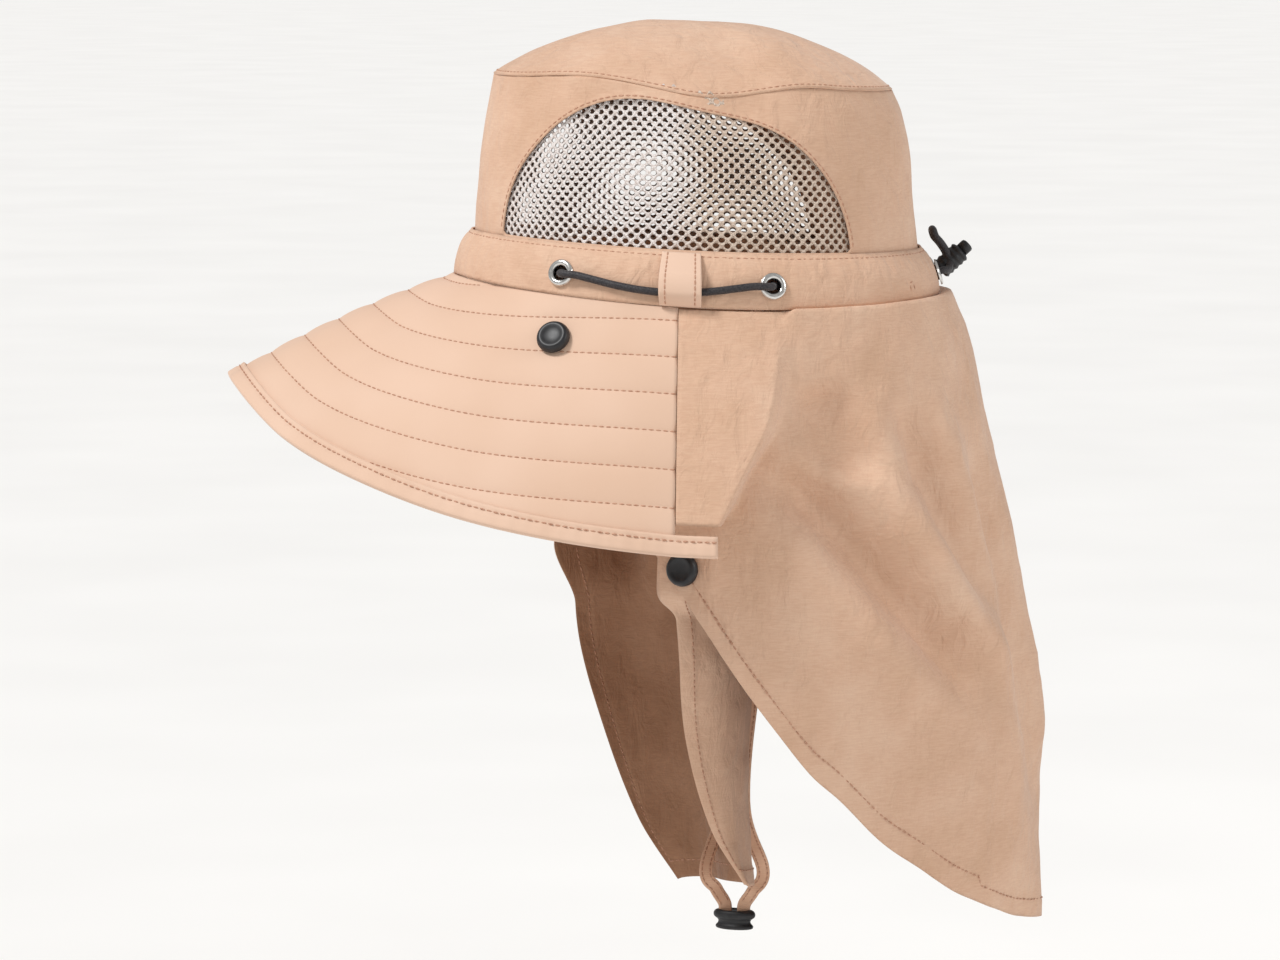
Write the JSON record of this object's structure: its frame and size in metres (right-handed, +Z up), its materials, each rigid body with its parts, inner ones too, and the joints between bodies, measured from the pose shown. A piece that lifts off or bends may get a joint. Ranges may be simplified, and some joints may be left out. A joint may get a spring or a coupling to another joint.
{
  "type": "ranger hat",
  "caption": "Soft sun hat with a quilted peak, mesh side windows, an elastic cord round the band, a long neck flap, a face cover hung from snaps and a chin strap.",
  "frame": {"origin": "middle of the head opening, in the plane of the band's lower edge, where the wearer's head carries the hat", "axes": "+Z up, the peak points to -Y, the wearer's left is +X"},
  "size_m": [0.2672, 0.3719, 0.4173],
  "materials": {
    "shell_cloth": "matt woven polyester",
    "mesh_cloth": "pierced knitted mesh",
    "strap_ribbon": "narrow woven ribbon",
    "elastic_cord": "braided elastic",
    "black_plastic": "satin moulded plastic",
    "snap_plastic": "glossy moulded plastic",
    "eyelet_metal": "nickel plated brass"
  },
  "bodies": {
    "root": {"chin_lock": "black_plastic", "chin_strap_left": "strap_ribbon", "chin_strap_right": "strap_ribbon", "cord_lock": "black_plastic", "cord_lock_button": "black_plastic", "cord_loop_left": "shell_cloth", "cord_loop_right": "shell_cloth", "crown_side": "shell_cloth", "crown_tip": "shell_cloth", "elastic_cord": "elastic_cord", "eyelet_front_left": "eyelet_metal", "eyelet_front_right": "eyelet_metal", "eyelet_rear_left": "eyelet_metal", "eyelet_rear_right": "eyelet_metal", "eyelet_side_left": "eyelet_metal", "eyelet_side_right": "eyelet_metal", "face_cover": "shell_cloth", "flap_snap_left": "snap_plastic", "flap_snap_right": "snap_plastic", "head_band": "shell_cloth", "mesh_window_left": "mesh_cloth", "mesh_window_right": "mesh_cloth", "neck_flap": "shell_cloth", "peak": "shell_cloth", "peak_binding": "shell_cloth", "peak_snap_left": "snap_plastic", "peak_snap_right": "snap_plastic", "snap_stud_left": "snap_plastic", "snap_stud_right": "snap_plastic"}
  },
  "joints": []
}
